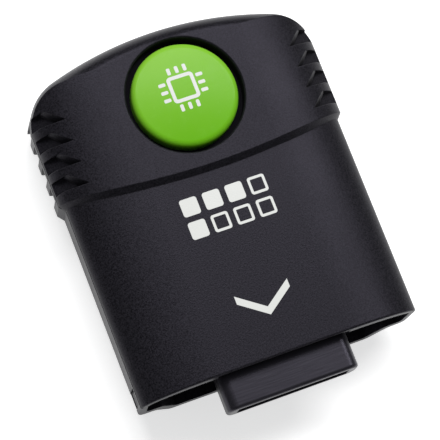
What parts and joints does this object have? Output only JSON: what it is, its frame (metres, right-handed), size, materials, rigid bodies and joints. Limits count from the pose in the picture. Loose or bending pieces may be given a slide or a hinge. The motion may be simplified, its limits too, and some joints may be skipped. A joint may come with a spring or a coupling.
{
  "type": "console memory card",
  "caption": "Flat black game-console memory card with a raised arched head, ribbed grip sides, round green badge and a recessed plug at its open end.",
  "frame": {"origin": "centre of the bounding box's bottom face, under the rear pan the card lies on", "axes": "+X across the card to its right, +Y toward the head, with the plug toward -Y, +Z out of the front face"},
  "size_m": [0.0456, 0.0582, 0.0162],
  "materials": {
    "case_plastic": "fine spark texture, satin",
    "badge_plastic": "glossy",
    "adhesive_foil": "matt",
    "plug_plastic": "satin",
    "plated_contact": "plated",
    "board_laminate": "solder mask",
    "package_epoxy": "moulded epoxy",
    "tinned_lead": "tinned",
    "crystal_can": "drawn can",
    "tantalum_resin": "moulded resin",
    "capacitor_ceramic": "fired",
    "resistor_ceramic": "fired",
    "ferrite": "sintered",
    "screw_steel": "zinc plated"
  },
  "bodies": {
    "root": {"front_shell": "case_plastic", "rear_shell": "case_plastic", "badge": "badge_plastic", "badge_adhesive": "adhesive_foil", "plug_shell": "plug_plastic", "contact_tongue": "plug_plastic", "contacts": "plated_contact", "circuit_board": "board_laminate", "flash_chip": "package_epoxy", "flash_leads": "tinned_lead", "controller_chip": "package_epoxy", "controller_leads": "tinned_lead", "crystal": "crystal_can", "voltage_regulator": "package_epoxy", "regulator_leads": "tinned_lead", "tantalum_capacitor": "tantalum_resin", "ceramic_capacitors": "capacitor_ceramic", "resistors": "resistor_ceramic", "ferrite_beads": "ferrite", "case_screws": "screw_steel"}
  },
  "joints": []
}
